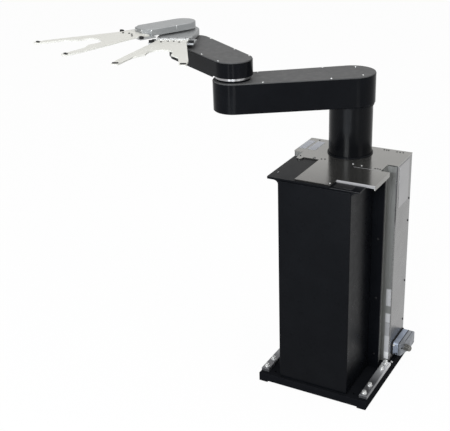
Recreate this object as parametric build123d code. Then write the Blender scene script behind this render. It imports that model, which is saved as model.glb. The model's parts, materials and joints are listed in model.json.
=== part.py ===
from build123d import *
import os

os.makedirs("parts", exist_ok=True)

# Wafer transfer robot: a floor plate with a black column and a stainless cabinet, a lift
# cylinder, two arm links and two flat hands for 300 mm wafers. Millimetres, +Z up.
# The origin is on the floor at the middle of the four floor bolts, and -Y is the front.

# Shared clearances and finishes
bearing_gap = 0.4
sliding_gap = 0.5
cut_overrun = 2.0
edge_round = 1.5

# Floor plate
plate_width = 330.0
plate_depth = 380.0
plate_thickness = 23.0
foot_height = 4.0
foot_width = 26.0
bolt_side_inset = 43.0
bolt_end_inset = 25.0
bolt_hole_diameter = 9.0
bolt_pad_radius = 13.0

# Clamp bars on the plate
bar_width = 25.0
bar_height = 10.0
bar_length = 190.0
bar_front_inset = 13.0

# Front column and the posts behind it
column_front_inset = 9.0
flange_width = 20.5
flange_thickness = 6.0
flange_overhang = 11.5
column_depth = 161.0
column_corner_round = 3.0
column_cove_radius = 12.0
post_depth = 47.0
post_width = 28.0

# Sheet cabinet behind the posts
cabinet_side_inset = 12.0
shoulder_width = 29.0
cabinet_depth = 118.0
sheet_thickness = 3.0
cabinet_bend_round = 2.5

# Lids and cap on top of the base
base_height = 645.0
lid_thickness = 3.0
cap_thickness = 6.0
cap_left_overhang = 13.0
cap_front_inset = 13.0
cap_back_overlap = 15.0
cover_back_reach = 7.0
front_lid_left_reach = 59.0
front_lid_right_overhang = 25.0
front_lid_inset = 20.0
recess_left_reach = 43.0
recess_depth = 40.0
recess_lip_height = 3.0
lid_seam_overlap = 5.0
lid_lip_height = 10.0

# Lift cylinder
lift_axis_x = -6.0
lift_axis_y = 80.0
lift_radius = 60.0
lift_bottom = 300.0
lift_top = 787.0
collar_wall = 3.0
collar_height = 4.0
shoulder_flange_radius = 63.0
shoulder_flange_height = 4.0

# Lower arm
lower_arm_length = 321.5
lower_arm_angle = 215.5
lower_arm_shoulder_radius = 65.5
lower_arm_elbow_radius = 57.0
lower_arm_height = 83.6
cover_thickness = 3.0
cover_inset = 1.5
arm_edge_chamfer = 2.0
spacer_radius = 46.0
spacer_height = 5.6

# Forearm
forearm_length = 310.6
forearm_angle = 147.4
forearm_radius = 52.5
forearm_end_radius = 60.0
forearm_nose_length = 46.0
forearm_nose_radius = 30.0
forearm_height = 43.4
ring_radius = 49.0
ring_height = 6.6
under_cover_inset = 4.0
under_cover_gap = 3.0

# Wrist shafts
hub_radius = 24.0
hub_height = 5.0
spindle_radius = 14.0

# Hands
hand_gap = 5.2
lower_hand_angle = 289.2
lower_hand_half_width = 50.0
lower_hand_front = 106.0
lower_hand_height = 16.1
lower_fork_rise = 9.1
lower_ledge_thickness = 5.0
lower_corner_chamfer = 9.0
lower_clamp_length = 15.0
lower_clamp_height = 3.0
lower_clamp_half_width = 46.0
upper_hand_angle = 243.6
upper_hand_half_width = 40.0
upper_hand_front = 135.0
upper_hand_height = 18.4
upper_fork_rise = 2.6
upper_ledge_thickness = 2.6
upper_corner_chamfer = 11.5
upper_clamp_length = 8.5
upper_clamp_front_half_width = 20.0
ledge_front_margin = 7.5
ledge_side_margin = 0.5

# Wafer forks, measured from the front of the hand
fork_thickness = 4.0
fork_neck_reach = 43.0
fork_neck_half_width = 46.0
fork_tip_length = 44.0
fork_bend_half_width = 95.0
fork_tip_margin = 10.5
fork_side_margin = 2.0
fork_corner_round = 5.0
slot_length = 155.0
slot_half_width = 35.0
slot_root_round = 33.0
slot_spread_length = 26.0
slot_flare_length = 78.0
slot_flare_half_width = 60.0
slot_tip_half_width = 81.0

# Wafer pads, measured from the front of the hand
rear_pad_reach = 31.5
rear_pad_half_spacing = 56.5
rear_pad_length = 8.0
rear_pad_width = 15.0
tip_pad_reach = 275.5
tip_pad_half_spacing = 89.0
tip_pad_length = 7.0
tip_pad_width = 16.0
pad_height = 2.0
pad_chamfer = 1.5

# Cable connector on the right wall
connector_middle_y = 95.5
connector_middle_z = 61.0
gasket_length = 97.0
gasket_height = 46.0
gasket_thickness = 3.0
connector_corner_round = 6.0
connector_rim = 2.0
connector_base_depth = 16.0
connector_hood_depth = 19.0
connector_hood_flat = 42.0
connector_hood_nose = 7.0
gland_radius = 11.0
gland_nut_length = 9.0
gland_dome_radius = 8.5
gland_dome_length = 9.0

# Heights and planes that follow from the sizes above
plate_top = foot_height + plate_thickness
plate_front = -plate_depth / 2
column_front = plate_front + column_front_inset
column_back = column_front + column_depth
cabinet_front = column_back + post_depth
cabinet_back = cabinet_front + cabinet_depth
lid_bottom = base_height - lid_thickness
cap_bottom = lid_bottom - cap_thickness
cap_back = column_back + cap_back_overlap
lid_seam = column_back - lid_seam_overlap
cabinet_half = plate_width / 2 - cabinet_side_inset
inner_half = cabinet_half - sheet_thickness
neck_half = cabinet_half - shoulder_width
column_half = neck_half - flange_width
cap_left_reach = neck_half + cap_left_overhang
cap_right_reach = neck_half
front_lid_right_reach = neck_half + front_lid_right_overhang
ledge_reach = rear_pad_reach + ledge_front_margin
ledge_half_width = rear_pad_half_spacing + rear_pad_width / 2 + ledge_side_margin
fork_tip_reach = tip_pad_reach + fork_tip_margin
fork_tip_half_width = tip_pad_half_spacing + tip_pad_width / 2 + fork_side_margin
fork_bend_reach = fork_tip_reach - fork_tip_length
slot_root_reach = fork_tip_reach - slot_length
slot_flare_reach = fork_tip_reach - slot_flare_length
slot_widening_reach = slot_flare_reach - slot_spread_length
shoulder_flange_top = lift_top + shoulder_flange_height
lower_arm_bottom = shoulder_flange_top + bearing_gap
lower_arm_top = lower_arm_bottom + lower_arm_height
spacer_top = lower_arm_top + spacer_height
ring_bottom = spacer_top + bearing_gap
forearm_bottom = ring_bottom + ring_height
forearm_top = forearm_bottom + forearm_height
hub_bottom = forearm_top + bearing_gap
lower_hand_bottom = hub_bottom + hub_height
lower_hand_top = lower_hand_bottom + lower_hand_height
upper_hand_bottom = lower_hand_top + hand_gap

# Places of the turning axes
shoulder_place = Pos(lift_axis_x, lift_axis_y, 0)
lower_arm_place = shoulder_place * Rot(0, 0, lower_arm_angle)
elbow_place = lower_arm_place * Pos(lower_arm_length, 0, 0) * Rot(0, 0, -lower_arm_angle)
forearm_place = elbow_place * Rot(0, 0, forearm_angle)
wrist_place = forearm_place * Pos(forearm_length, 0, 0) * Rot(0, 0, -forearm_angle)


def block(left, right, front, back, bottom, top):
    """Box between six planes."""
    middle = Pos((left + right) / 2, (front + back) / 2, (bottom + top) / 2)
    return middle * Box(right - left, back - front, top - bottom)


def prism(outline, bottom, top):
    """Flat outline raised from one height to another."""
    return Pos(0, 0, bottom) * extrude(outline, top - bottom)


def disc(radius, bottom, top):
    """Upright cylinder on the Z axis."""
    return prism(Circle(radius), bottom, top)


def link_outline(circles):
    """Outline drawn tight round circles that stand along a link's centre line."""
    with BuildSketch() as outline:
        for along, radius in circles:
            with Locations((along, 0)):
                Circle(radius)
        make_hull()
    return outline.sketch


def shrunk(circles, inset):
    """The same circles with smaller radii."""
    return [(along, radius - inset) for along, radius in circles]


def top_edges(solid):
    return solid.edges().group_by(Axis.Z)[-1]


def bottom_edges(solid):
    return solid.edges().group_by(Axis.Z)[0]


def upright_edges(solid):
    return solid.edges().filter_by(Axis.Z)


def mirrored(solid):
    """Left-hand copy of a right-hand piece."""
    return mirror(solid, about=Plane.YZ)


pieces = {}

# Floor plate on two foot rails, drilled through four round feet for the floor bolts
plate = block(-plate_width / 2, plate_width / 2, plate_front, -plate_front, foot_height, plate_top)
foot = block(plate_width / 2 - foot_width, plate_width / 2, plate_front, -plate_front, 0, foot_height)
plate = plate + foot + mirrored(foot)
plate = chamfer(top_edges(plate), edge_round)
bolts = GridLocations(plate_width - 2 * bolt_side_inset, plate_depth - 2 * bolt_end_inset, 2, 2)
for bolt in bolts:
    plate = plate + bolt * disc(bolt_pad_radius, 0, foot_height)
hole = disc(bolt_hole_diameter / 2, -cut_overrun, plate_top + cut_overrun)
for bolt in bolts:
    plate = plate - bolt * hole
pieces["base_plate"] = plate

# Clamp bars along both edges of the plate
bar_front = plate_front + bar_front_inset
bar = block(plate_width / 2 - bar_width, plate_width / 2 - edge_round, bar_front, bar_front + bar_length,
            plate_top, plate_top + bar_height)
bar = chamfer(top_edges(bar), edge_round)
pieces["right_clamp_bar"] = bar
pieces["left_clamp_bar"] = mirrored(bar)

# Front column, closed, with coves that carry the overhanging cap
column = block(-column_half, column_half, column_front, column_back, plate_top, cap_bottom)
column = fillet(upright_edges(column), column_corner_round)
cove_front = column_front + column_corner_round
cove = block(column_half, column_half + column_cove_radius, cove_front, column_back,
             cap_bottom - column_cove_radius, cap_bottom)
hollow = Plane.XZ.offset(-cove_front + cut_overrun) * Pos(
    column_half + column_cove_radius, cap_bottom - column_cove_radius, 0) * Circle(column_cove_radius)
cove = cove - extrude(hollow, -(column_back - cove_front + 2 * cut_overrun))
pieces["front_column"] = column + cove + mirrored(cove)

# Posts that carry the lids behind the column, each with a flange in front
post_side = neck_half - sheet_thickness
flange_back = column_back + flange_thickness
post = block(neck_half - post_width, post_side, column_back, cabinet_front, plate_top, cap_bottom)
flange = block(neck_half - post_width, neck_half + flange_overhang, column_back, flange_back,
               plate_top, cap_bottom)
post = post + flange
pieces["right_flange_post"] = post
pieces["left_flange_post"] = mirrored(post)

# Sheet cabinet round the lift, its shoulders bent forward along the posts
shoulder = block(post_side, inner_half, cabinet_front, cabinet_front + sheet_thickness, plate_top, lid_bottom)
neck_side = block(post_side, neck_half, flange_back, cabinet_front, plate_top, cap_bottom)
neck_side = neck_side + block(post_side, neck_half, cap_back, cabinet_front, cap_bottom, lid_bottom)
shoulder = shoulder + neck_side
pieces["right_shoulder"] = shoulder
pieces["left_shoulder"] = mirrored(shoulder)
wall = block(inner_half, cabinet_half, cabinet_front, cabinet_back, plate_top, lid_bottom)
outer_bends = upright_edges(wall).group_by(Axis.X)[-1]
wall = fillet(outer_bends, cabinet_bend_round)
pieces["right_wall"] = wall
pieces["left_wall"] = mirrored(wall)
pieces["back_wall"] = block(-inner_half, inner_half, cabinet_back - sheet_thickness, cabinet_back,
                            plate_top, lid_bottom)

# Black cap under the front lid, sunk where the lid has its recess
cap_front = plate_front + cap_front_inset
lid_front = plate_front + front_lid_inset
recess_back = lid_front + recess_depth
cap = block(-cap_left_reach, cap_right_reach, cap_front, cap_back, cap_bottom, lid_bottom)
cap = fillet(upright_edges(cap), column_corner_round)
sunk = block(recess_left_reach, cap_right_reach + cut_overrun, cap_front - cut_overrun,
             recess_back + lid_thickness, lid_bottom - recess_lip_height, lid_bottom + cut_overrun)
pieces["column_cap"] = cap - sunk

# Front lid with its recess and folded lips
front_lid = block(-front_lid_left_reach, front_lid_right_reach, lid_front, lid_seam, lid_bottom, base_height)
recess = block(recess_left_reach, front_lid_right_reach + cut_overrun, lid_front - cut_overrun, recess_back,
               lid_bottom - cut_overrun, base_height + cut_overrun)
front_lid = front_lid - recess
lip = block(front_lid_right_reach - lid_thickness, front_lid_right_reach, recess_back, lid_seam,
            lid_bottom - lid_lip_height, lid_bottom)
recess_lip = block(recess_left_reach, front_lid_right_reach, recess_back, recess_back + lid_thickness,
                   lid_bottom - recess_lip_height, lid_bottom)
pieces["front_top_plate"] = front_lid + lip + recess_lip

# Rear lid with a neck and the opening for the lift
rear_lid = block(-neck_half, neck_half, lid_seam, cabinet_front, lid_bottom, base_height)
rear_lid = rear_lid + block(-cabinet_half, cabinet_half, cabinet_front, cabinet_back, lid_bottom, base_height)
cover_room = block(-neck_half - cut_overrun, -front_lid_left_reach, lid_seam - cut_overrun,
                   column_back + cover_back_reach, lid_bottom - cut_overrun, base_height + cut_overrun)
opening = disc(lift_radius + sliding_gap, lid_bottom - cut_overrun, base_height + cut_overrun)
pieces["rear_top_plate"] = rear_lid - cover_room - shoulder_place * opening

# Collar round the lift
collar_top = base_height + collar_height
collar = disc(lift_radius + sliding_gap + collar_wall, base_height, collar_top)
collar = chamfer(top_edges(collar), edge_round)
collar = collar - disc(lift_radius + sliding_gap, base_height - cut_overrun, collar_top + cut_overrun)
pieces["collar_ring"] = shoulder_place * collar

# Connector on the right wall: gasket, base, hood and cable gland
gasket_plane = Plane.YZ.offset(cabinet_half)
connector_middle = Pos(connector_middle_y, connector_middle_z, 0)
gasket = extrude(gasket_plane * connector_middle * RectangleRounded(
    gasket_length, gasket_height, connector_corner_round), gasket_thickness)
pieces["connector_gasket"] = gasket
base_plane = gasket_plane.offset(gasket_thickness)
base_length = gasket_length - 2 * connector_rim
base_tall = gasket_height - 2 * connector_rim
pieces["connector_base"] = extrude(base_plane * connector_middle * RectangleRounded(
    base_length, base_tall, connector_corner_round), connector_base_depth)
hood_left = cabinet_half + gasket_thickness + connector_base_depth
hood_right = hood_left + connector_hood_depth
hood_back = connector_middle_y + base_length / 2 - connector_rim
hood_front = connector_middle_y - base_length / 2 + connector_rim
hood_bend = hood_back - connector_hood_flat
hood_tall = base_tall - 2 * connector_rim
hood_side = make_face(Polyline(
    (hood_left, hood_front), (hood_left + connector_hood_nose, hood_front), (hood_right, hood_bend),
    (hood_right, hood_back), (hood_left, hood_back), close=True))
hood_bottom = connector_middle_z - hood_tall / 2
hood = prism(hood_side, hood_bottom, hood_bottom + hood_tall)
pieces["connector_hood"] = chamfer(hood.faces().sort_by(Axis.X)[-1].edges(), connector_rim)

# Cable gland on the sloped nose of the hood: a hexagon nut and a round cap
slope_run = hood_bend - hood_front
slope_rise = connector_hood_depth - connector_hood_nose
slope_middle_x = hood_left + connector_hood_nose + slope_rise / 2
slope_middle = (slope_middle_x, hood_front + slope_run / 2, connector_middle_z)
gland_plane = Plane(slope_middle, x_dir=(0, 0, 1), z_dir=(slope_run, -slope_rise, 0))
gland = extrude(gland_plane * RegularPolygon(gland_radius, 6), gland_nut_length)
dome = extrude(gland_plane.offset(gland_nut_length) * Circle(gland_dome_radius), gland_dome_length)
dome_axis = Axis(slope_middle, gland_plane.z_dir)
dome = chamfer(dome.faces().sort_by(dome_axis)[-1].edges(), connector_rim)
pieces["connector_gland"] = gland + dome

# Lift cylinder and the flange under the lower arm
pieces["lift_cylinder"] = shoulder_place * disc(lift_radius, lift_bottom, lift_top)
pieces["shoulder_flange"] = shoulder_place * disc(shoulder_flange_radius, lift_top, shoulder_flange_top)

# Lower arm: a tapered link with a flat cover and the spacer under the elbow
lower_arm_circles = [(0, lower_arm_shoulder_radius), (lower_arm_length, lower_arm_elbow_radius)]
lower_arm_seat = lower_arm_top - cover_thickness
housing = prism(link_outline(lower_arm_circles), lower_arm_bottom, lower_arm_seat)
housing = chamfer(bottom_edges(housing), arm_edge_chamfer)
pieces["lower_arm_housing"] = lower_arm_place * housing
cover = prism(link_outline(shrunk(lower_arm_circles, cover_inset)), lower_arm_seat, lower_arm_top)
pieces["lower_arm_cover"] = lower_arm_place * cover
pieces["elbow_spacer"] = elbow_place * disc(spacer_radius, lower_arm_top, spacer_top)

# Forearm: ring at the elbow, housing with a narrowing nose, top cover and under cover
pieces["elbow_ring"] = elbow_place * disc(ring_radius, ring_bottom, forearm_bottom)
forearm_circles = [(0, forearm_radius), (forearm_length - forearm_nose_length, forearm_end_radius),
                   (forearm_length, forearm_nose_radius)]
forearm_seat = forearm_top - cover_thickness
pieces["forearm_housing"] = forearm_place * prism(link_outline(forearm_circles), forearm_bottom, forearm_seat)
forearm_cover = prism(link_outline(shrunk(forearm_circles, cover_inset)), forearm_seat, forearm_top)
pieces["forearm_cover"] = forearm_place * forearm_cover
under_cover = prism(link_outline(shrunk(forearm_circles, under_cover_inset)), ring_bottom, forearm_bottom)
elbow_room = disc(forearm_radius + under_cover_gap, ring_bottom - cut_overrun, forearm_bottom + cut_overrun)
pieces["forearm_under_cover"] = forearm_place * (under_cover - elbow_room)

# Wrist: the lower hand's hub turns round the upper hand's spindle
hub = disc(hub_radius, hub_bottom, lower_hand_bottom)
hub = hub - disc(spindle_radius + bearing_gap, hub_bottom - cut_overrun, lower_hand_bottom + cut_overrun)
pieces["lower_hub"] = wrist_place * hub
pieces["upper_spindle"] = wrist_place * disc(spindle_radius, hub_bottom, upper_hand_bottom)


def hand_housing(half_width, front, corner_chamfer, bottom, top, fork_bottom, ledge_thickness):
    """Round-backed housing with a ledge in front that carries the fork and the rear pads."""
    body = prism(Circle(half_width) + Pos(front / 2, 0) * Rectangle(front, 2 * half_width), bottom, top)
    body = chamfer(upright_edges(body).group_by(Axis.X)[-1], corner_chamfer)
    body = chamfer(top_edges(body), edge_round)
    return body + block(front - corner_chamfer, front + ledge_reach, -ledge_half_width, ledge_half_width,
                        fork_bottom - ledge_thickness, fork_bottom)


def fork_outline():
    """Flat fork: narrow neck, two spreading tines and a round-ended slot that flares to the tips."""
    outer = make_face(Polyline(
        (0, -fork_neck_half_width), (0, fork_neck_half_width),
        (fork_neck_reach, fork_neck_half_width), (fork_bend_reach, fork_bend_half_width),
        (fork_tip_reach, fork_tip_half_width), (fork_tip_reach, -fork_tip_half_width),
        (fork_bend_reach, -fork_bend_half_width), (fork_neck_reach, -fork_neck_half_width), close=True))
    slot_end = fork_tip_reach + cut_overrun
    slot = make_face(Polyline(
        (slot_root_reach, -slot_half_width), (slot_root_reach, slot_half_width),
        (slot_widening_reach, slot_half_width), (slot_flare_reach, slot_flare_half_width),
        (fork_tip_reach, slot_tip_half_width), (slot_end, slot_tip_half_width),
        (slot_end, -slot_tip_half_width), (fork_tip_reach, -slot_tip_half_width),
        (slot_flare_reach, -slot_flare_half_width), (slot_widening_reach, -slot_half_width), close=True))
    slot = fillet(slot.vertices().group_by(Axis.X)[0], slot_root_round)
    outline = outer - slot
    return fillet(outline.vertices().group_by(Axis.X)[-1], fork_corner_round)


def pad(length, width, bottom, top):
    """Small rubber block that a wafer rests on."""
    whole = block(-length / 2, length / 2, -width / 2, width / 2, bottom, top)
    return chamfer(upright_edges(whole), pad_chamfer)


def clamp_outline(length, root_half_width, front_half_width):
    """Clamp plate that narrows from the housing to its front."""
    return make_face(Polyline(
        (0, -root_half_width), (0, root_half_width), (length, front_half_width), (length, -front_half_width),
        close=True))


def add_hand(name, angle, half_width, front, corner_chamfer, bottom, height, fork_rise, ledge_thickness,
             clamp_face, clamp_height, bored):
    """Housing, fork, clamp plate and pads of one hand, turned to its pose."""
    place = wrist_place * Rot(0, 0, angle)
    fork_place = place * Pos(front, 0, 0)
    fork_bottom = bottom + fork_rise
    fork_top = fork_bottom + fork_thickness
    wafer_height = fork_top + pad_height
    body = hand_housing(half_width, front, corner_chamfer, bottom, bottom + height,
                        fork_bottom, ledge_thickness)
    if bored:
        body = body - disc(spindle_radius + bearing_gap, bottom - cut_overrun, bottom + height + cut_overrun)
    pieces[name + "_housing"] = place * body
    pieces[name + "_fork"] = fork_place * prism(fork_outline(), fork_bottom, fork_top)
    pieces[name + "_clamp_plate"] = fork_place * prism(clamp_face, fork_top, fork_top + clamp_height)
    for side, sign in (("right", 1), ("left", -1)):
        rear = Pos(rear_pad_reach, sign * rear_pad_half_spacing, 0)
        rear_pad = pad(rear_pad_length, rear_pad_width, fork_bottom, wafer_height)
        pieces[name + "_" + side + "_rear_pad"] = fork_place * rear * rear_pad
        tip = Pos(tip_pad_reach, sign * tip_pad_half_spacing, 0)
        tip_pad = pad(tip_pad_length, tip_pad_width, fork_top, wafer_height)
        pieces[name + "_" + side + "_tip_pad"] = fork_place * tip * tip_pad


lower_clamp = clamp_outline(lower_clamp_length, lower_clamp_half_width, lower_clamp_half_width)
add_hand("lower_hand", lower_hand_angle, lower_hand_half_width, lower_hand_front, lower_corner_chamfer,
         lower_hand_bottom, lower_hand_height, lower_fork_rise, lower_ledge_thickness,
         lower_clamp, lower_clamp_height, True)
upper_clamp = clamp_outline(upper_clamp_length, upper_hand_half_width - upper_corner_chamfer,
                            upper_clamp_front_half_width)
upper_clamp_height = upper_hand_height - upper_fork_rise - fork_thickness
add_hand("upper_hand", upper_hand_angle, upper_hand_half_width, upper_hand_front, upper_corner_chamfer,
         upper_hand_bottom, upper_hand_height, upper_fork_rise, upper_ledge_thickness,
         upper_clamp, upper_clamp_height, False)

for node, solid in pieces.items():
    export_step(solid, "parts/" + node + ".step")
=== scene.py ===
import bmesh
import bpy
import json
import math
from mathutils import Matrix, Vector


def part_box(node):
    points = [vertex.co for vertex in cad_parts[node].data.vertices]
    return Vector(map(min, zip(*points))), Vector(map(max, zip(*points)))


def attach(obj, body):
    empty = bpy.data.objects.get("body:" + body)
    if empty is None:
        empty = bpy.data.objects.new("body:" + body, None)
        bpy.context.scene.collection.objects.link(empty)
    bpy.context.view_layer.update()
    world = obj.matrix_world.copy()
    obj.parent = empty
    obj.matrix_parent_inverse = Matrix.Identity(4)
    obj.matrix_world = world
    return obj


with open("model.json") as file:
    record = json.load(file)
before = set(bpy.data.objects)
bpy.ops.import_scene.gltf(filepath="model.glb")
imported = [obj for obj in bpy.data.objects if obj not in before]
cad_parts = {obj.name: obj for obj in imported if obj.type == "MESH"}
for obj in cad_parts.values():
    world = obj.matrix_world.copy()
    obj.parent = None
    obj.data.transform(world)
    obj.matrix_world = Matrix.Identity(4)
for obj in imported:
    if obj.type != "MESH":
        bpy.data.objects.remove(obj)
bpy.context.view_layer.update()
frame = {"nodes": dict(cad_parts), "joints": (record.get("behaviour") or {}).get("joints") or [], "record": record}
nodes = frame["nodes"]
MM = 0.001
UP, RIGHT, LEFT, FRONT, BACK = (0, 0, 1), (1, 0, 0), (-1, 0, 0), (0, -1, 0), (0, 1, 0)

# Axes of the links, from the frame, and the way each link points at rest
pivots = {joint["name"]: Vector(joint["pos_m"]) for joint in frame["joints"] if "pos_m" in joint}
shoulder = pivots["shoulder_turn"]
elbow = pivots["elbow_turn"]
wrist = pivots["lower_hand_turn"]
LOWER_ARM_ANGLE = math.radians(215.5)
FOREARM_ANGLE = math.radians(147.4)
LOWER_HAND_ANGLE = math.radians(289.2)
UPPER_HAND_ANGLE = math.radians(243.6)

# From the wrist's axis to the front of each hand, and the clamp before the upper one, in millimetres
LOWER_HAND_FRONT = 106
UPPER_HAND_FRONT = 135
UPPER_CLAMP_LENGTH = 8.5


def top_of(node):
    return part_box(node)[1].z


# Materials

# Sockets of a Mix node that mixes colours
MIX_SHARE, MIX_FIRST, MIX_SECOND, MIX_RESULT = 0, 6, 7, 2
NOISE_ROUGHNESS = 0.6
SEED_STEP = (1.0, 0.7, 1.3)
SMOOTHEST = 0.05
BEVEL_SAMPLES = 6


class Surface:
    """A material on one Principled shader, with helpers that add procedural detail to it.

    A pattern is a noise given by its stretch, detail and seed.
    """

    def __init__(self, name, colour, roughness, metallic=0.0, specular=0.5):
        self.material = bpy.data.materials.new(name)
        self.material.use_nodes = True
        self.tree = self.material.node_tree
        self.shader = self.tree.nodes["Principled BSDF"]
        self.colour = (*colour, 1.0)
        self.roughness = roughness
        self.shader.inputs["Base Color"].default_value = self.colour
        self.shader.inputs["Roughness"].default_value = roughness
        self.shader.inputs["Metallic"].default_value = metallic
        self.shader.inputs["Specular IOR Level"].default_value = specular
        self.place = self.tree.nodes.new("ShaderNodeTexCoord").outputs["Object"]
        self.normal = None

    def node(self, kind, **values):
        """A node with values on its inputs, where an underscore stands for a space."""
        made = self.tree.nodes.new(kind)
        for name, value in values.items():
            made.inputs[name.replace("_", " ")].default_value = value
        return made

    def link(self, source, target):
        self.tree.links.new(source, target)

    def noise(self, stretch, detail, seed):
        """Noise with features 1/stretch metres long, on all axes alike or on each of three."""
        scale = stretch if isinstance(stretch, tuple) else (stretch, stretch, stretch)
        offset = tuple(seed * step for step in SEED_STEP)
        mapping = self.node("ShaderNodeMapping", Scale=scale, Location=offset)
        self.link(self.place, mapping.inputs["Vector"])
        made = self.node("ShaderNodeTexNoise", Scale=1.0, Detail=detail, Roughness=NOISE_ROUGHNESS)
        self.link(mapping.outputs["Vector"], made.inputs["Vector"])
        return made.outputs["Fac"]

    def ranged(self, source, low, high, from_low=0.3, from_high=0.7):
        made = self.node("ShaderNodeMapRange", From_Min=from_low, From_Max=from_high, To_Min=low, To_Max=high)
        self.link(source, made.inputs["Value"])
        return made.outputs["Result"]

    def along_axis(self, axis, zero, full):
        """Mask that goes from 0 to 1 between two places on an axis of the frame, in millimetres."""
        apart = self.tree.nodes.new("ShaderNodeSeparateXYZ")
        self.link(self.place, apart.inputs["Vector"])
        return self.ranged(apart.outputs[axis], 0.0, 1.0, from_low=zero * MM, from_high=full * MM)

    def both(self, first, second):
        """Product of two masks."""
        product = self.tree.nodes.new("ShaderNodeMath")
        product.operation = "MULTIPLY"
        self.link(first, product.inputs[0])
        self.link(second, product.inputs[1])
        return product.outputs["Value"]

    def tint(self, mask, colour):
        """Mixes another colour in where the mask is 1."""
        mix = self.tree.nodes.new("ShaderNodeMix")
        mix.data_type = "RGBA"
        mix.inputs[MIX_FIRST].default_value = self.colour
        mix.inputs[MIX_SECOND].default_value = (*colour, 1.0)
        socket = self.shader.inputs["Base Color"]
        if socket.is_linked:
            self.link(socket.links[0].from_socket, mix.inputs[MIX_FIRST])
        self.link(mask, mix.inputs[MIX_SHARE])
        self.link(mix.outputs[MIX_RESULT], socket)
        return self

    def cloud(self, colour, amount=1.0, start=0.3, full=0.7, **pattern):
        """Mixes another colour in where a pattern is high."""
        self.tint(self.ranged(self.noise(**pattern), 0.0, amount, start, full), colour)

    def vary_roughness(self, spread, **pattern):
        low = max(self.roughness - spread, SMOOTHEST)
        varied = self.ranged(self.noise(**pattern), low, self.roughness + spread)
        self.link(varied, self.shader.inputs["Roughness"])

    def bump(self, depth, strength, **pattern):
        """Adds one layer of relief, depth in millimetres."""
        made = self.node("ShaderNodeBump", Strength=strength, Distance=depth * MM)
        self.link(self.noise(**pattern), made.inputs["Height"])
        if self.normal is not None:
            self.link(self.normal, made.inputs["Normal"])
        self.normal = made.outputs["Normal"]
        self.link(self.normal, self.shader.inputs["Normal"])

    def worn_edges(self, colour, width, amount):
        """Rubbed edges, width in millimetres, where a rounded normal departs from the flat one."""
        rounded = self.node("ShaderNodeBevel", Radius=width * MM)
        rounded.samples = BEVEL_SAMPLES
        flat = self.tree.nodes.new("ShaderNodeNewGeometry").outputs["Normal"]
        dot = self.tree.nodes.new("ShaderNodeVectorMath")
        dot.operation = "DOT_PRODUCT"
        self.link(rounded.outputs["Normal"], dot.inputs[0])
        self.link(flat, dot.inputs[1])
        edge = self.ranged(dot.outputs["Value"], 1.0, 0.0, from_low=0.75, from_high=0.97)
        spots = self.noise(stretch=90, detail=4.0, seed=7.0)
        broken = self.ranged(spots, 0.15 * amount, amount, from_low=0.4, from_high=0.62)
        self.tint(self.both(edge, broken), colour)


# Rubbed edges of black finishes
RUBBED_BLACK = {"colour": (0.022, 0.023, 0.025), "width": 1.2, "amount": 0.8}


def black_anodised():
    """The lift cylinder: smoother than the satin paint, with faint rubbed bands."""
    made = Surface("black_anodised", (0.0024, 0.0027, 0.0034), roughness=0.24, specular=0.08)
    made.cloud((0.0032, 0.0036, 0.0045), stretch=(5, 5, 60), detail=4.0, seed=3.0)
    made.vary_roughness(0.03, stretch=(30, 30, 90), detail=5.0, seed=2.0)
    made.bump(depth=0.01, strength=0.15, stretch=(20, 20, 1800), detail=2.0, seed=3.0)
    made.worn_edges(**RUBBED_BLACK)
    return made.material


def black_paint(name, roughness):
    """Paint on the column and the links, with a fine grain."""
    made = Surface(name, (0.0027, 0.0031, 0.0041), roughness, specular=0.05)
    made.cloud((0.0038, 0.0043, 0.0055), stretch=14, detail=4.0, seed=1.0)
    made.vary_roughness(0.04, stretch=45, detail=5.0, seed=2.0)
    made.bump(depth=0.04, strength=0.2, stretch=700, detail=2.0, seed=3.0)
    made.worn_edges(**RUBBED_BLACK)
    return made.material


def black_powder_coat():
    """The floor plate: dull powder coat."""
    made = Surface("black_powder_coat", (0.0060, 0.0064, 0.0078), roughness=0.6, specular=0.0015)
    made.cloud((0.0076, 0.0080, 0.0094), stretch=14, detail=4.0, seed=1.0)
    made.vary_roughness(0.06, stretch=45, detail=5.0, seed=2.0)
    made.bump(depth=0.06, strength=0.3, stretch=500, detail=2.0, seed=3.0)
    made.worn_edges(**RUBBED_BLACK)
    return made.material


def grey_cover():
    """Covers with a fine blasted grain."""
    grain = {"stretch": 1400, "detail": 1.0, "seed": 5.0}
    made = Surface("grey_anodised_cover", (0.058, 0.058, 0.059), roughness=0.55, specular=0.22)
    made.cloud((0.066, 0.066, 0.066), stretch=10, detail=4.0, seed=4.0)
    made.cloud((0.050, 0.050, 0.051), amount=0.4, **grain)
    made.vary_roughness(0.06, stretch=60, detail=4.0, seed=6.0)
    made.bump(depth=0.03, strength=0.25, **grain)
    made.worn_edges((0.16, 0.16, 0.16), width=0.9, amount=0.6)
    return made.material


def brushed(name, colour, dark, stretch, roughness, metallic=1.0, wear=0.5):
    """Sheet steel with fine lines one way, soft clouding and, unless wear is 0, rubbed edges."""
    lines = {"stretch": stretch, "detail": 2.0, "seed": 8.0}
    made = Surface(name, colour, roughness, metallic=metallic)
    made.cloud(dark, amount=0.45, **lines)
    made.cloud(dark, amount=0.4, stretch=7, detail=5.0, seed=9.0)
    made.vary_roughness(0.03, stretch=25, detail=5.0, seed=2.0)
    made.bump(depth=0.01, strength=0.15, **lines)
    if wear:
        made.worn_edges((0.55, 0.55, 0.54), width=1.0, amount=wear)
    return made


LINES_ACROSS = (9, 900, 900)
LINES_UPRIGHT = (700, 700, 6)
LINES_FRONT_TO_BACK = (700, 8, 700)
PANEL_LINES = (700, 6, 700)


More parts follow.
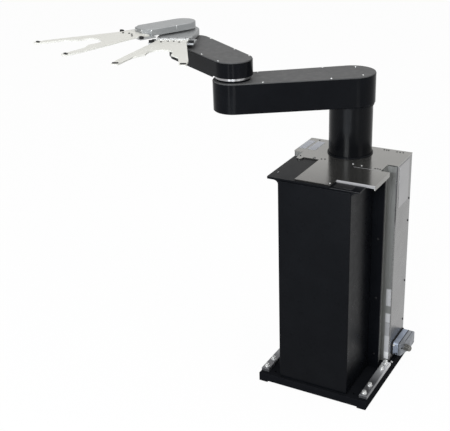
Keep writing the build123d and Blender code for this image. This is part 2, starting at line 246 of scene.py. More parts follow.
def lid_steel():
    """Lids, darker towards the front: painted shade."""
    made = brushed("brushed_steel_lids", (0.262, 0.258, 0.244), (0.212, 0.209, 0.199), LINES_ACROSS,
                   roughness=0.17, metallic=0.9)
    painted_shade_mask = made.along_axis("Y", zero=-10, full=-190)
    return made.tint(painted_shade_mask, (0.15, 0.146, 0.139)).material


def wall_steel():
    """Walls, with painted shade along the upper part of the side walls' front bend."""
    made = brushed("brushed_steel_walls", (0.222, 0.222, 0.222), (0.182, 0.182, 0.182), LINES_UPRIGHT,
                   roughness=0.28, wear=0)
    bend = made.along_axis("Y", zero=30.6, full=29.2)
    upper = made.along_axis("Z", zero=460, full=490)
    return made.tint(made.both(bend, upper), (0.08, 0.08, 0.082)).material


# Painted reflections and painted shade on the outer part of the shoulders, from the top down: bottom and top in
# millimetres, and colour
SHOULDER_PAINTED_LIGHT_ZONES = (
    (270, 660, (0.155, 0.157, 0.151)),
    (214, 268, (0.44, 0.44, 0.45)),
    (159, 189, (0.52, 0.52, 0.53)),
    (116, 158, (0.37, 0.37, 0.38)),
    (60, 115, (0.55, 0.55, 0.56)),
    (36, 60, (0.88, 0.88, 0.88)),
)
ZONE_INNER, ZONE_OUTER = 134.5, 137.5
ZONE_BOTTOM_BLUR = 1
ZONE_TOP_BLUR = 2


def shoulder_steel():
    """Front strips of the cabinet: painted reflections as bright zones low down on their outer part, with painted
    shade above them.
    """
    made = brushed("brushed_steel_shoulders", (0.205, 0.208, 0.20), (0.17, 0.173, 0.166), LINES_UPRIGHT,
                   roughness=0.5, metallic=0.35, wear=0)
    for side in (1, -1):
        outer = made.along_axis("X", zero=side * ZONE_INNER, full=side * ZONE_OUTER)
        for bottom, top, colour in SHOULDER_PAINTED_LIGHT_ZONES:
            above = made.along_axis("Z", zero=bottom - ZONE_BOTTOM_BLUR, full=bottom + ZONE_BOTTOM_BLUR)
            below = made.along_axis("Z", zero=top + ZONE_TOP_BLUR, full=top - ZONE_TOP_BLUR)
            made.tint(made.both(outer, made.both(above, below)), colour)
    return made.material


def bar_steel():
    """Clamp bars with a painted reflection: bright at the back and dark at the front."""
    made = brushed("brushed_steel_bars", (0.125, 0.125, 0.132), (0.095, 0.095, 0.1), LINES_FRONT_TO_BACK,
                   roughness=0.3, metallic=0.5)
    painted_reflection_mask = made.along_axis("Y", zero=-100, full=10)
    return made.tint(painted_reflection_mask, (0.62, 0.62, 0.63)).material


def turned_steel():
    lines = {"stretch": (8, 8, 2600), "detail": 2.0, "seed": 3.0}
    made = Surface("turned_steel", (0.36, 0.36, 0.365), roughness=0.2, metallic=1.0)
    made.cloud((0.25, 0.25, 0.26), amount=0.7, **lines)
    made.bump(depth=0.02, strength=0.2, **lines)
    return made.material


def hand_aluminium():
    grain = {"stretch": 1600, "detail": 1.0, "seed": 2.0}
    made = Surface("blasted_aluminium", (0.275, 0.283, 0.285), roughness=0.44, metallic=0.55)
    made.cloud((0.245, 0.252, 0.254), stretch=16, detail=5.0, seed=4.0)
    made.cloud((0.31, 0.318, 0.32), amount=0.4, **grain)
    made.vary_roughness(0.06, stretch=70, detail=4.0, seed=1.0)
    made.bump(depth=0.04, strength=0.25, **grain)
    made.worn_edges((0.42, 0.425, 0.43), width=0.8, amount=0.7)
    return made.material


def milled_aluminium():
    lines = {"stretch": (60, 60, 1500), "detail": 2.0, "seed": 3.0}
    made = Surface("milled_aluminium", (0.52, 0.525, 0.525), roughness=0.30, metallic=0.35)
    made.cloud((0.44, 0.445, 0.45), amount=0.5, **lines)
    made.vary_roughness(0.05, stretch=90, detail=4.0, seed=1.0)
    made.bump(depth=0.02, strength=0.2, **lines)
    made.worn_edges((0.75, 0.75, 0.75), width=0.6, amount=0.6)
    return made.material


def ceramic():
    made = Surface("fork_ceramic", (0.60, 0.594, 0.553), roughness=0.42, specular=0.35)
    made.cloud((0.57, 0.563, 0.52), stretch=9, detail=5.0, seed=4.0)
    made.cloud((0.50, 0.49, 0.445), amount=0.3, start=0.5, full=0.75, stretch=900, detail=2.0, seed=6.0)
    made.vary_roughness(0.06, stretch=40, detail=4.0, seed=1.0)
    made.bump(depth=0.03, strength=0.2, stretch=500, detail=3.0, seed=6.0)
    made.worn_edges((0.66, 0.655, 0.62), width=1.0, amount=0.6)
    return made.material


def rubber():
    made = Surface("black_rubber", (0.007, 0.007, 0.0075), roughness=0.65, specular=0.15)
    made.cloud((0.012, 0.012, 0.013), stretch=300, detail=4.0, seed=2.0)
    made.vary_roughness(0.08, stretch=120, detail=3.0, seed=1.0)
    made.bump(depth=0.08, strength=0.4, stretch=1500, detail=2.0, seed=6.0)
    return made.material


def die_cast(name, colour, dark):
    made = Surface(name, colour, roughness=0.42, metallic=0.45)
    made.cloud(dark, stretch=60, detail=5.0, seed=2.0)
    made.vary_roughness(0.08, stretch=120, detail=4.0, seed=1.0)
    made.bump(depth=0.16, strength=0.45, stretch=520, detail=4.0, seed=6.0)
    made.worn_edges((0.52, 0.55, 0.58), width=1.0, amount=0.9)
    return made.material


def blank_plate():
    """Pale plates on the lid: satin, faintly blue, a little handled."""
    made = Surface("blank_plate_stock", (0.40, 0.415, 0.455), roughness=0.38, specular=0.4)
    made.cloud((0.35, 0.365, 0.40), amount=0.7, stretch=40, detail=5.0, seed=2.0)
    made.vary_roughness(0.06, stretch=80, detail=4.0, seed=1.0)
    made.bump(depth=0.03, strength=0.25, stretch=600, detail=2.0, seed=6.0)
    made.worn_edges((0.5, 0.51, 0.53), width=0.8, amount=0.7)
    return made.material


STAIN_SHARE = 0.6


def screw_steel(name, colour, roughness, metallic=1.0):
    stain = tuple(STAIN_SHARE * part for part in colour)
    made = Surface(name, colour, roughness, metallic=metallic)
    made.cloud(stain, amount=0.7, stretch=400, detail=4.0, seed=2.0)
    made.vary_roughness(0.06, stretch=300, detail=3.0, seed=1.0)
    made.bump(depth=0.03, strength=0.3, stretch=(900, 900, 3000), detail=2.0, seed=6.0)
    return made.material


SATIN_BLACK = black_paint("black_satin_paint", roughness=0.3)
GLOSS_BLACK = black_paint("black_gloss_paint", roughness=0.15)
ANODISED = black_anodised()
COVER = grey_cover()
POWDER_COAT = black_powder_coat()
LID_STEEL = lid_steel()
WALL_STEEL = wall_steel()
SHOULDER_STEEL = shoulder_steel()
BAR_STEEL = bar_steel()
TRIM_STEEL = brushed("folded_edge_steel", (0.27, 0.27, 0.278), (0.21, 0.21, 0.217), LINES_ACROSS,
                     roughness=0.32, metallic=0.7).material
PLATE_STOCK = blank_plate()
PANEL_STEEL = brushed("blank_panel_steel", (0.34, 0.34, 0.345), (0.29, 0.29, 0.295), PANEL_LINES,
                      roughness=0.32, wear=0).material
TURNED = turned_steel()
ALUMINIUM = hand_aluminium()
CLAMP = milled_aluminium()
CERAMIC = ceramic()
RUBBER = rubber()
CAST = die_cast("grey_die_cast", (0.30, 0.34, 0.415), (0.225, 0.255, 0.315))
WARM_CAST = die_cast("warm_die_cast", (0.235, 0.25, 0.275), (0.17, 0.178, 0.19))
GLAND_CAST = die_cast("gland_die_cast", (0.15, 0.147, 0.135), (0.10, 0.098, 0.09))
BRIGHT_SCREW = screw_steel("bright_screw", (0.72, 0.72, 0.71), roughness=0.28, metallic=0.6)
GREY_SCREW = screw_steel("grey_screw", (0.22, 0.22, 0.22), roughness=0.35)
DARK_SCREW = screw_steel("dark_screw", (0.045, 0.045, 0.047), roughness=0.4)

by_slot = {
    "black_paint": SATIN_BLACK,
    "grey_cover": COVER,
    "brushed_stainless": WALL_STEEL,
    "turned_steel": TURNED,
    "hand_aluminium": ALUMINIUM,
    "ceramic": CERAMIC,
    "black_rubber": RUBBER,
    "die_cast": CAST,
}
by_node = {
    "base_plate": POWDER_COAT,
    "left_clamp_bar": BAR_STEEL,
    "right_clamp_bar": BAR_STEEL,
    "left_shoulder": SHOULDER_STEEL,
    "right_shoulder": SHOULDER_STEEL,
    "front_top_plate": LID_STEEL,
    "rear_top_plate": LID_STEEL,
    "connector_hood": WARM_CAST,
    "connector_gland": GLAND_CAST,
    "lift_cylinder": ANODISED,
    "lower_arm_housing": GLOSS_BLACK,
    "forearm_housing": GLOSS_BLACK,
    "lower_hand_clamp_plate": CLAMP,
}
for part in frame["record"]["subparts"]:
    finish = by_node.get(part["node"], by_slot[part["material_slot"]])
    for place in nodes[part["node"]].material_slots:
        place.material = finish


# Turned forms and screws

SIXTH_TURN = math.pi / 3
SHARP_ANGLE = math.radians(35)
HEAD_SIDES = 24
DOME_SIDES = 20
SPIN_STEP = 0.7

# Cap screw, in shares of the head's radius, the washer's rim or thickness, and the socket
WASHER_RIM_SHARE = 1.38
WASHER_TOP_SHARE = 0.96
WASHER_SIDE_SHARE = 0.8
CAP_EDGE_SHARE = 0.12
CAP_SOCKET_SHARE = 0.5
EDGE_ROUND_SHARES = (0.35, 0.3)
SOCKET_MOUTH_SHARE = 1.04
SOCKET_CHAMFER_SHARE = 0.12
SOCKET_DEPTH_SHARE = 0.6

# Round-headed screw, in shares of the head's radius, the socket and the head's height
DOME_SOCKET_SHARE = 0.42
DOME_FLAT_SHARE = 1.25
DOME_SOCKET_FLOOR_SHARE = 0.35
DOME_RING_SHARES = (0.25, 0.5, 0.75)


def ring_points(radius, height, count, hexagon=False):
    """Level ring of points, on a circle or on a hexagon round it."""
    points = []
    for step in range(count):
        turn = 2 * math.pi * step / count
        reach = radius
        if hexagon:
            reach = radius / math.cos((turn + SIXTH_TURN / 2) % SIXTH_TURN - SIXTH_TURN / 2)
        points.append(Vector((reach * math.cos(turn), reach * math.sin(turn), height)))
    return points


def add_lathe(mesh, place, rings):
    """Closed form from rings with equal numbers of points, capped at both ends."""
    loops = [[mesh.verts.new(place @ point) for point in ring] for ring in rings]
    count = len(loops[0])
    for lower, upper in zip(loops, loops[1:]):
        for i in range(count):
            k = (i + 1) % count
            mesh.faces.new((lower[i], lower[k], upper[k], upper[i]))
    mesh.faces.new(list(reversed(loops[0])))
    mesh.faces.new(loops[-1])


def socket_screw(mesh, place, radius, height, washer=0.0):
    """Cap screw with a rounded rim, a hexagon socket and, where asked, a washer under it."""
    if washer:
        rim = radius * WASHER_RIM_SHARE
        profile = ((rim, 0), (rim, washer * WASHER_SIDE_SHARE), (rim * WASHER_TOP_SHARE, washer))
        add_lathe(mesh, place, [ring_points(reach, level, HEAD_SIDES) for reach, level in profile])
    top = washer + height
    edge = radius * CAP_EDGE_SHARE
    socket = radius * CAP_SOCKET_SHARE
    round_in, round_down = (share * edge for share in EDGE_ROUND_SHARES)
    outside = ((radius, washer), (radius, top - edge), (radius - round_in, top - round_down),
               (radius - edge, top))
    inside = ((socket * SOCKET_MOUTH_SHARE, top), (socket, top - SOCKET_CHAMFER_SHARE * socket),
              (socket, top - SOCKET_DEPTH_SHARE * height))
    rings = [ring_points(reach, level, HEAD_SIDES) for reach, level in outside]
    rings += [ring_points(reach, level, HEAD_SIDES, hexagon=True) for reach, level in inside]
    add_lathe(mesh, place, rings)


def dome_screw(mesh, place, radius, height):
    """Low round-headed screw with a hexagon socket."""
    socket = radius * DOME_SOCKET_SHARE
    flat = socket * DOME_FLAT_SHARE
    rings = [ring_points(radius, 0, DOME_SIDES)]
    for share in DOME_RING_SHARES:
        reach = radius - (radius - flat) * share * share
        rings.append(ring_points(reach, height * math.sin(share * math.pi / 2), DOME_SIDES))
    rings.append(ring_points(flat, height, DOME_SIDES))
    for level in (height, height * DOME_SOCKET_FLOOR_SHARE):
        rings.append(ring_points(socket, level, DOME_SIDES, hexagon=True))
    add_lathe(mesh, place, rings)


def finished(name, mesh, material, body):
    """Turns a built mesh into a piece that rides on a body."""
    bmesh.ops.recalc_face_normals(mesh, faces=mesh.faces)
    data = bpy.data.meshes.new(name)
    mesh.to_mesh(data)
    mesh.free()
    piece = bpy.data.objects.new(name, data)
    bpy.context.scene.collection.objects.link(piece)
    data.materials.append(material)
    data.set_sharp_from_angle(angle=SHARP_ANGLE)
    for face in data.polygons:
        face.use_smooth = True
    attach(piece, body)


def facing(axis):
    """Rotation that turns +Z to an axis."""
    return Vector(UP).rotation_difference(Vector(axis)).to_matrix().to_4x4()


def screws(name, body, material, points, head, axis=UP, maker=dome_screw, slot="turned_steel", **more):
    """One piece with a screw at each point, all facing one way.

    Points are in metres, and a head is its radius and height in millimetres.
    """
    mesh = bmesh.new()
    turn = facing(axis)
    radius, height = head
    for index, point in enumerate(points):
        spin = Matrix.Rotation(SPIN_STEP * index, 4, "Z")
        maker(mesh, Matrix.Translation(point) @ turn @ spin, radius * MM, height * MM, **more)
    finished(name, mesh, material, body)


def on_plan(points, z):
    """Places given as x and y in millimetres, at a height in metres."""
    return [Vector((x * MM, y * MM, z)) for x, y in points]


def along(origin, angle, points, z):
    """Places given along and across a link in millimetres, at a height in metres."""
    turn = Matrix.Rotation(angle, 3, "Z")
    made = []
    for run, side in points:
        spot = origin + turn @ Vector((run * MM, side * MM, 0))
        made.append(Vector((spot.x, spot.y, z)))
    return made


def both_sides(points):
    """Places along and across a link, and their mirror images across it."""
    return [(run, side * reach) for side in (1, -1) for run, reach in points]


# Screws on the arms and hands, placed along and across their link

LOWER_COVER_SCREWS = ((250, 52), (69, 59), (-20, 43))
LOWER_COVER_HEAD = (2.6, 1.4)
FOREARM_COVER_SCREWS = ((-4, 47), (85, 50), (235, 54))
FOREARM_COVER_HEAD = (2.4, 1.3)
FORK_SCREW_ROWS = ((35, 7.7), (44.5, 26))
FORK_HEAD = (2.8, 1.9)
CLAMP_SCREW_RUN = 9
CLAMP_SCREW_SIDES = (-36, -12, 12, 36)
CLAMP_HEAD = (2.3, 0.7)
HAND_FRONT_SCREW_SIDES = (-14, 14)
HAND_FRONT_SCREW_DROP = 7
HAND_FRONT_HEAD = (2.2, 1.2)


def fork_screws(hand, angle, front):
    """Four cap screws in the fork's root, in rows measured from the front of the hand."""
    points = [(front + run, side * reach) for run, reach in FORK_SCREW_ROWS for side in (-1, 1)]
    screws(hand + "_fork_screws", hand, DARK_SCREW, along(wrist, angle, points, top_of(hand + "_fork")),
           FORK_HEAD, maker=socket_screw)


screws("lower_arm_cover_screws", "lower_arm", BRIGHT_SCREW,
       along(shoulder, LOWER_ARM_ANGLE, both_sides(LOWER_COVER_SCREWS), top_of("lower_arm_cover")),
       LOWER_COVER_HEAD)
screws("forearm_cover_screws", "forearm", BRIGHT_SCREW,
       along(elbow, FOREARM_ANGLE, both_sides(FOREARM_COVER_SCREWS), top_of("forearm_cover")),
       FOREARM_COVER_HEAD)
fork_screws("lower_hand", LOWER_HAND_ANGLE, LOWER_HAND_FRONT)
fork_screws("upper_hand", UPPER_HAND_ANGLE, UPPER_HAND_FRONT)

clamp_top = top_of("lower_hand_clamp_plate")
clamp_screws = [(LOWER_HAND_FRONT + CLAMP_SCREW_RUN, side) for side in CLAMP_SCREW_SIDES]
screws("lower_hand_clamp_screws", "lower_hand", DARK_SCREW,
       along(wrist, LOWER_HAND_ANGLE, clamp_screws, clamp_top), CLAMP_HEAD)

upper_hand_top = top_of("upper_hand_housing")
upper_hand_axis = (math.cos(UPPER_HAND_ANGLE), math.sin(UPPER_HAND_ANGLE), 0)
front_screws = [(UPPER_HAND_FRONT + UPPER_CLAMP_LENGTH, side) for side in HAND_FRONT_SCREW_SIDES]
screws("upper_hand_front_screws", "upper_hand", BRIGHT_SCREW,
       along(wrist, UPPER_HAND_ANGLE, front_screws, upper_hand_top - HAND_FRONT_SCREW_DROP * MM),
       HAND_FRONT_HEAD, axis=upper_hand_axis)


# Screws on the base

LID_BRIGHT_SCREWS = ((39, -8), (64, -10), (37, -160))
LID_BRIGHT_HEAD = (2.1, 1.5)
LID_DARK_SCREWS = (
    (-55, -6), (-46, -3), (-119, -5),
    (104, -14), (111, -13), (118, -14),
    (75, 133), (82, 133), (88, 133),
    (113, 131), (122, 131), (131, 131),
    (-75, 133), (-122, 133),
)
LID_DARK_HEAD = (2.2, 1.2)
CAP_SCREWS = ((-123, -135),)
CAP_HEAD = (2.6, 1.5)
WALL_SCREW_Y = 134
WALL_SCREW_ROWS = (512, 443, 249, 118)
BACK_SCREW_COLUMNS = (-138, 0, 138)
BACK_SCREW_ROWS = (48, 235, 430, 622)
WALL_HEAD = (3.2, 1.8)
FLANGE_SCREW_COLUMNS = (-122, 122)
FLANGE_SCREW_ROWS = (75, 260, 444, 610)
FLANGE_HEAD = (3.2, 2.2)
BAR_BOLT_X = 151
BAR_BOLT_ROWS = (-165, -123, -30, 3)
BAR_BOLT_HEAD = (5.5, 7.0)
BAR_WASHER = 1.6

lid_top = top_of("rear_top_plate")
cap_top = top_of("column_cap")
screws("lid_bright_screws", "base", BRIGHT_SCREW, on_plan(LID_BRIGHT_SCREWS, lid_top), LID_BRIGHT_HEAD)
screws("lid_dark_screws", "base", DARK_SCREW, on_plan(LID_DARK_SCREWS, lid_top), LID_DARK_HEAD)
screws("cap_screws", "base", GREY_SCREW, on_plan(CAP_SCREWS, cap_top), CAP_HEAD)

wall_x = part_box("right_wall")[1].x
for name, x, axis in (("right_wall_screws", wall_x, RIGHT), ("left_wall_screws", -wall_x, LEFT)):
    screws(name, "base", DARK_SCREW, [Vector((x, WALL_SCREW_Y * MM, z * MM)) for z in WALL_SCREW_ROWS],
           WALL_HEAD, axis=axis)
back_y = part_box("back_wall")[1].y
screws("back_wall_screws", "base", DARK_SCREW,
       [Vector((x * MM, back_y, z * MM)) for x in BACK_SCREW_COLUMNS for z in BACK_SCREW_ROWS],
       WALL_HEAD, axis=BACK)
flange_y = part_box("right_flange_post")[0].y
screws("flange_screws", "base", DARK_SCREW,
       [Vector((x * MM, flange_y, z * MM)) for x in FLANGE_SCREW_COLUMNS for z in FLANGE_SCREW_ROWS],
       FLANGE_HEAD, axis=FRONT, maker=socket_screw)
bar_bolts = [(side * BAR_BOLT_X, y) for side in (-1, 1) for y in BAR_BOLT_ROWS]
screws("clamp_bar_bolts", "base", BRIGHT_SCREW, on_plan(bar_bolts, top_of("right_clamp_bar")), BAR_BOLT_HEAD,
       maker=socket_screw, washer=BAR_WASHER * MM)


# Thin plates and strips

CORNER_STEPS = 5
EAR_STEPS = 14


def rounded_outline(width, length, radius):
    """Rectangle with rounded corners in the XY plane, anticlockwise."""
    points = []
    for turn, x, y in ((0, 1, 1), (1, -1, 1), (2, -1, -1), (3, 1, -1)):
        for step in range(CORNER_STEPS + 1):
            angle = (turn + step / CORNER_STEPS) * math.pi / 2
            points.append(Vector((x * (width / 2 - radius) + radius * math.cos(angle),
                                  y * (length / 2 - radius) + radius * math.sin(angle), 0)))
    return points


def ear_outline(width, length):
    """Tongue with a round end towards -Y, its straight end at Y 0."""
    radius = width / 2
    points = [Vector((radius, 0, 0)), Vector((-radius, 0, 0))]
    for step in range(EAR_STEPS + 1):
        angle = math.pi * (1 + step / EAR_STEPS)
        points.append(Vector((radius * math.cos(angle), radius - length + radius * math.sin(angle), 0)))
    return points


def add_plate(mesh, place, outline, thickness, edge):
    """Plate on the XY plane with a small chamfer round its top."""
    middle = sum(outline, Vector()) / len(outline)
    raised = [point + Vector((0, 0, thickness - edge)) for point in outline]
    inset = [point + (middle - point).normalized() * edge + Vector((0, 0, thickness)) for point in outline]
    add_lathe(mesh, place, [outline, raised, inset])


def plates(name, body, material, placed, thickness, edge):
    """One piece of thin plates, each given as its place and its outline. All sizes in metres."""
    mesh = bmesh.new()
    for place, outline in placed:
        add_plate(mesh, place, outline, thickness, edge)
    finished(name, mesh, material, body)


def lid_strip(name, material, section, height, ends):
    """Bar along X on the lids: its section as y and z in millimetres above a height, and its two ends."""
    mesh = bmesh.new()
    add_lathe(mesh, Matrix(), [[Vector((x * MM, y * MM, height + z * MM)) for y, z in section] for x in ends])
    finished(name, mesh, material, "base")


# Trim on the hands

GROOVE_RUN = 3
groove_place = along(wrist, LOWER_HAND_ANGLE, [(LOWER_HAND_FRONT + GROOVE_RUN, 0)], clamp_top)[0]
groove_outline = rounded_outline(width=1.6 * MM, length=88 * MM, radius=0.7 * MM)
# A flat dark strip stands in for a groove in the clamp plate: painted shade of the groove.
plates("lower_hand_clamp_groove_shade", "lower_hand", DARK_SCREW,
       [(Matrix.Translation(groove_place) @ Matrix.Rotation(LOWER_HAND_ANGLE, 4, "Z"), groove_outline)],
       thickness=0.2 * MM, edge=0.08 * MM)

# Thin bright pins down the upright edges of the upper hand, a painted highlight standing in for glints on those
# edges, placed along and across it from the wrist
PIN_SPOTS = ((UPPER_HAND_FRONT + UPPER_CLAMP_LENGTH, 20), (UPPER_HAND_FRONT - 11.5, 40),
             (41.5, 40), (41.5, -40))
PIN_DROP = 11.3
PIN_PROFILE = ((0.5, 0), (0.8, 0.5), (0.8, 10.4), (0.5, 10.9))
PIN_SIDES = 12
mesh = bmesh.new()
for spot in along(wrist, UPPER_HAND_ANGLE, PIN_SPOTS, upper_hand_top - PIN_DROP * MM):
    rings = [ring_points(radius * MM, height * MM, PIN_SIDES) for radius, height in PIN_PROFILE]
    add_lathe(mesh, Matrix.Translation(spot), rings)
finished("upper_hand_edge_glint_pins", mesh, BRIGHT_SCREW, "upper_hand")


# Blank plates and trim on the lids and the wall

BLANK_PLATES = ((-140.5, 21), (-111, 23))
BLANK_PLATE_Y = 87
BLANK_PLATE_LENGTH = 70
BLANK_PLATE_ROUND = 2
blank_plates = [
    (Matrix.Translation((x * MM, BLANK_PLATE_Y * MM, lid_top)),
     rounded_outline(width * MM, BLANK_PLATE_LENGTH * MM, BLANK_PLATE_ROUND * MM))
    for x, width in BLANK_PLATES
]
plates("lid_blank_plates", "base", PLATE_STOCK, blank_plates,
       thickness=0.5 * MM, edge=0.15 * MM)

PANEL_Y, PANEL_Z = 82, 576.5
panel_outline = rounded_outline(width=123 * MM, length=78 * MM, radius=3 * MM)
plates("wall_blank_panel", "base", PANEL_STEEL,
       [(Matrix.Translation((wall_x, PANEL_Y * MM, PANEL_Z * MM)) @ facing(RIGHT), panel_outline)],
       thickness=0.8 * MM, edge=0.25 * MM)

EAR_X, EAR_Y = -115, -13
plates("lid_ear", "base", LID_STEEL,
       [(Matrix.Translation((EAR_X * MM, EAR_Y * MM, cap_top)), ear_outline(width=18 * MM, length=14 * MM))],
       thickness=lid_top - cap_top, edge=0.3 * MM)

BUTTON_SPOT = (-77, -6)
BUTTON_HEAD = (3.3, 1.0)
BUTTON_WASHER = 0.7
screws("lid_button", "base", GREY_SCREW, on_plan([BUTTON_SPOT], lid_top), BUTTON_HEAD, maker=socket_screw,
       washer=BUTTON_WASHER * MM)

# The recess in the front lid: its folded back edge, the rim along its front and a tray on its floor
RECESS_DEPTH = 6
FOLD_SECTION = ((-130, 6), (-130.6, 5.8), (-134.2, 2.2), (-134.4, 1.6), (-134.4, 0), (-130, 0))
FOLD_ENDS = (43.2, 148.8)
RIM_SECTION = ((-177, 0), (-177, 0.8), (-176.6, 1.2), (-175.4, 1.2), (-175, 0.8), (-175, 0))
RIM_ENDS = (43.5, 123.5)
TRAY_X, TRAY_Y = 74, -152
recess_floor = lid_top - RECESS_DEPTH * MM
lid_strip("recess_fold", TRIM_STEEL, FOLD_SECTION, recess_floor, FOLD_ENDS)
# The rim is a lighter metal strip along the cap's front edge: a painted highlight of that edge.
lid_strip("recess_rim_highlight", DARK_SCREW, RIM_SECTION, recess_floor, RIM_ENDS)
tray_outline = rounded_outline(width=52 * MM, length=28 * MM, radius=3 * MM)
plates("recess_tray", "base", DARK_SCREW,
       [(Matrix.Translation((TRAY_X * MM, TRAY_Y * MM, recess_floor)), tray_outline)],
       thickness=0.9 * MM, edge=0.3 * MM)

SEAM_SECTION = ((-26.2, 0), (-25.4, 0.5), (-24.7, 0.5), (-24.5, 0))
SEAM_ENDS = (47, 123.5)
lid_strip("lid_seam", TRIM_STEEL, SEAM_SECTION, lid_top, SEAM_ENDS)


# Small pieces on the connector, and screws in the floor plate

base_low, base_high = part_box("connector_base")
SEAL_OVERHANG = 0.8
SEAL_SUNK = 0.4
seal_place = Matrix.Translation((base_high.x - SEAL_SUNK * MM, (base_low.y + base_high.y) / 2,
                                 (base_low.z + base_high.z) / 2)) @ facing(RIGHT)
seal_outline = rounded_outline(width=base_high.z - base_low.z + SEAL_OVERHANG * MM,
                               length=base_high.y - base_low.y + SEAL_OVERHANG * MM, radius=6 * MM)
plates("connector_seal", "base", RUBBER, [(seal_place, seal_outline)], thickness=0.8 * MM,
       edge=0.2 * MM)

HOOD_LINE_X, HOOD_LINE_Y = 184, 106
hood_line_outline = rounded_outline(width=1.2 * MM, length=66 * MM, radius=0.5 * MM)
hood_line_place = Matrix.Translation((HOOD_LINE_X * MM, HOOD_LINE_Y * MM, top_of("connector_hood")))
plates("connector_hood_line", "base", RUBBER, [(hood_line_place, hood_line_outline)],
       thickness=0.25 * MM, edge=0.1 * MM)

# Plugs on the hood's sloping face, and the way it faces
HOOD_FACING = (0.97, -0.247, 0)
PLUG_SPOTS = ((180.2, 55.7, 65.6), (184, 70.7, 69))
PLUG_HEAD = (2.6, 1.6)
screws("connector_plugs", "base", RUBBER, [Vector(spot) * MM for spot in PLUG_SPOTS], PLUG_HEAD,
       axis=HOOD_FACING, slot="black_rubber")

PLATE_SCREW_X = 160
PLATE_SCREW_ROWS = (30, 160)
PLATE_HEAD = (3.6, 2.6)
plate_screws = [(side * PLATE_SCREW_X, y) for side in (-1, 1) for y in PLATE_SCREW_ROWS]
screws("plate_screws", "base", BRIGHT_SCREW, on_plan(plate_screws, top_of("base_plate")), PLATE_HEAD,
       maker=socket_screw)

# A peg and two sockets on the front of the connector's base, placed by x and z
PEG_X, PEG_Z = 158.5, 75
PEG_HEAD = (3.2, 5.0)
SOCKET_SPOTS = ((167.5, 47), (161, 45))
SOCKET_HEAD = (2.6, 1.5)
# The peg's bright steel stands where a small glint shows: a painted glint.
screws("connector_peg_glint", "base", BRIGHT_SCREW, [Vector((PEG_X * MM, base_low.y, PEG_Z * MM))], PEG_HEAD,
       axis=FRONT)
screws("connector_sockets", "base", DARK_SCREW,
       [Vector((x * MM, base_low.y, z * MM)) for x, z in SOCKET_SPOTS], SOCKET_HEAD, axis=FRONT,
       maker=socket_screw)


# Stage: pale floor, soft light and the camera

FLOOR_REACH = 14.0
FLOOR_COLOUR = (0.8, 0.8, 0.8, 1)
FLOOR_ROUGHNESS = 0.8
FLOOR_GLOW_SHARE = 0.96
WORLD_LIGHT = 0.5
WHITE = 1.0


def background_rays(tree):
    """1 for a ray that shows the background itself: from the camera, off gloss or through glass."""
    path = tree.nodes.new("ShaderNodeLightPath")
    result = path.outputs["Is Camera Ray"]
    for name in ("Is Glossy Ray", "Is Transmission Ray"):
        larger = tree.nodes.new("ShaderNodeMath")
        larger.operation = "MAXIMUM"
        tree.links.new(result, larger.inputs[0])
        tree.links.new(path.outputs[name], larger.inputs[1])
        result = larger.outputs["Value"]
    return result


def floor_material():
    """Pale floor that shows almost white to the camera and keeps a little of its shadow."""
    material = bpy.data.materials.new("pale_floor")
    material.use_nodes = True
    tree = material.node_tree
    paint = tree.nodes["Principled BSDF"]
    paint.inputs["Base Color"].default_value = FLOOR_COLOUR
    paint.inputs["Roughness"].default_value = FLOOR_ROUGHNESS
    paint.inputs["Specular IOR Level"].default_value = 0.0
    glow = tree.nodes.new("ShaderNodeEmission")
    glow.inputs["Strength"].default_value = WHITE
    share = tree.nodes.new("ShaderNodeMath")
    share.operation = "MULTIPLY"
    share.inputs[1].default_value = FLOOR_GLOW_SHARE
    tree.links.new(background_rays(tree), share.inputs[0])
    mix = tree.nodes.new("ShaderNodeMixShader")
    tree.links.new(share.outputs["Value"], mix.inputs["Fac"])
    tree.links.new(paint.outputs["BSDF"], mix.inputs[1])
    tree.links.new(glow.outputs["Emission"], mix.inputs[2])
    tree.links.new(mix.outputs["Shader"], tree.nodes["Material Output"].inputs["Surface"])
    return material


floor_data = bpy.data.meshes.new("floor")
floor_corners = [(x * FLOOR_REACH, y * FLOOR_REACH, 0) for x, y in ((-1, -1), (1, -1), (1, 1), (-1, 1))]
floor_data.from_pydata(floor_corners, [], [(0, 1, 2, 3)])
floor = bpy.data.objects.new("floor", floor_data)
bpy.context.scene.collection.objects.link(floor)
floor_data.materials.append(floor_material())


def studio_world():
    """White where it is seen, and half as strong where it lights."""
    world = bpy.data.worlds.new("studio")
    world.use_nodes = True
    tree = world.node_tree
    sky = tree.nodes["Background"]
    sky.inputs["Color"].default_value = (1, 1, 1, 1)
    strength = tree.nodes.new("ShaderNodeMapRange")
    strength.inputs["To Min"].default_value = WORLD_LIGHT
    strength.inputs["To Max"].default_value = WHITE
    tree.links.new(background_rays(tree), strength.inputs["Value"])
    tree.links.new(strength.outputs["Result"], sky.inputs["Strength"])
    return world


bpy.context.scene.world = studio_world()


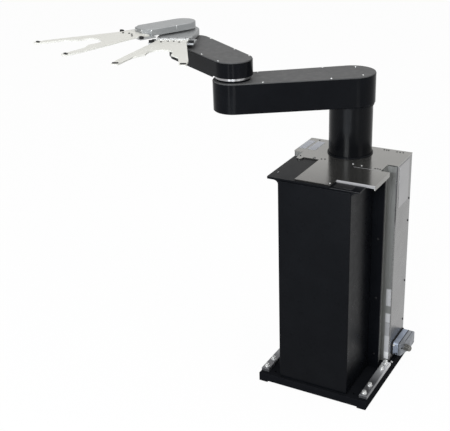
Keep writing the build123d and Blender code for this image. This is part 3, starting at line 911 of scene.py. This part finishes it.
def soft_box(name, place, aim, width, height, power, colour=(1, 1, 1)):
    """Rectangular lamp at a place, facing a point. Metres and watts."""
    light = bpy.data.lights.new(name, "AREA")
    light.shape = "RECTANGLE"
    light.size = width
    light.size_y = height
    light.energy = power
    light.color = colour
    lamp = bpy.data.objects.new(name, light)
    bpy.context.scene.collection.objects.link(lamp)
    lamp.location = place
    lamp.rotation_euler = (Vector(aim) - Vector(place)).to_track_quat("-Z", "Y").to_euler()


FLOOR_LAMP_HEIGHT = 0.01


def floor_lamp(name, x, y, width, height, power, colour=(1, 1, 1)):
    """Soft box that lies on the floor and faces up."""
    soft_box(name, (x, y, FLOOR_LAMP_HEIGHT), (x, y, 1.0), width, height, power, colour)


soft_box("overhead_box", (-0.1, 0.2, 4.4), aim=(-0.1, 0.1, 0.0), width=5.0, height=5.0, power=90)
soft_box("key_box", (0.15, -3.2, 1.82), aim=(-0.05, 0.0, 0.65), width=1.1, height=0.45, power=84,
         colour=(0.92, 0.96, 1.0))
soft_box("right_box", (3.0, -0.6, 2.0), aim=(0.0, 0.0, 0.5), width=1.2, height=1.8, power=20)
floor_lamp("floor_box", x=0.15, y=-2.05, width=1.5, height=0.9, power=26, colour=(0.86, 0.92, 1.0))
floor_lamp("left_streak_box", x=-0.2, y=-3.3, width=0.35, height=1.2, power=6)
floor_lamp("right_streak_box", x=1.2, y=-2.95, width=0.4, height=0.9, power=6)
floor_lamp("arm_streak_box", x=2.15, y=-1.45, width=0.5, height=0.8, power=3)

CAMERA_PLACE = (0.89195, -2.15997, 1.52779)
CAMERA_YAW = math.radians(30.347)
CAMERA_PITCH = math.radians(24.030)
CAMERA_ROLL = math.radians(-2.135)
camera_data = bpy.data.cameras.new("camera")
camera_data.sensor_fit = "HORIZONTAL"
camera_data.sensor_width = 36.0
camera_data.lens = 72.537
camera_data.clip_end = 60.0
camera = bpy.data.objects.new("camera", camera_data)
bpy.context.scene.collection.objects.link(camera)
camera.matrix_world = (
    Matrix.Translation(CAMERA_PLACE) @ Matrix.Rotation(CAMERA_YAW, 4, "Z")
    @ Matrix.Rotation(math.pi / 2 - CAMERA_PITCH, 4, "X") @ Matrix.Rotation(CAMERA_ROLL, 4, "Z"))
bpy.context.scene.camera = camera
bpy.context.scene.view_settings.view_transform = "Standard"
